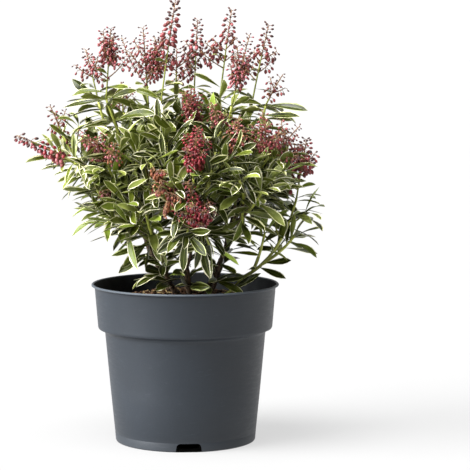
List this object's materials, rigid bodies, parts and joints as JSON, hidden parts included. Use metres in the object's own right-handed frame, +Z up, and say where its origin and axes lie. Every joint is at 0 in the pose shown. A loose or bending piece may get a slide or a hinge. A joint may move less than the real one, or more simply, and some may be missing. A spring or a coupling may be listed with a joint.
{
  "type": "potted flowering shrub",
  "caption": "Bushy evergreen shrub with cream-edged narrow leaves and upright red bud sprays, in a round grey plant pot.",
  "frame": {"origin": "middle of the pot's flat underside", "axes": "+Z up the plant, -Y towards the viewer, +X to the viewer's right"},
  "size_m": [0.3113, 0.2419, 0.4437],
  "materials": {
    "slate_plastic": "satin moulded plastic",
    "compost": "rough, crumbly",
    "bark": "dull bark",
    "foliage": "satin leaves"
  },
  "bodies": {
    "root": {"bough_back_left": "bark", "bough_back_left_high": "bark", "bough_back_mid": "bark", "bough_back_right": "bark", "bough_back_right_high": "bark", "bough_back_top": "bark", "bough_centre_front": "bark", "bough_centre_top": "bark", "bough_left_far": "bark", "bough_left_mid": "bark", "bough_right_front": "bark", "bough_right_top": "bark", "bough_top_left": "bark", "compost": "compost", "foliage_back_left": "foliage", "foliage_back_left_high": "foliage", "foliage_back_mid": "foliage", "foliage_back_right": "foliage", "foliage_back_right_high": "foliage", "foliage_back_top": "foliage", "foliage_centre_front": "foliage", "foliage_centre_mid": "foliage", "foliage_centre_top": "foliage", "foliage_far_right": "foliage", "foliage_left_far": "foliage", "foliage_left_front": "foliage", "foliage_left_mid": "foliage", "foliage_left_top": "foliage", "foliage_right_crest": "foliage", "foliage_right_front": "foliage", "foliage_right_mid": "foliage", "foliage_right_top": "foliage", "foliage_top_left": "foliage", "foliage_top_mid": "foliage", "pot": "slate_plastic", "stem_centre": "bark", "stem_centre_back": "bark", "stem_left": "bark", "stem_left_back": "bark", "stem_low_right": "bark", "stem_right": "bark", "stem_right_back": "bark"}
  },
  "joints": []
}
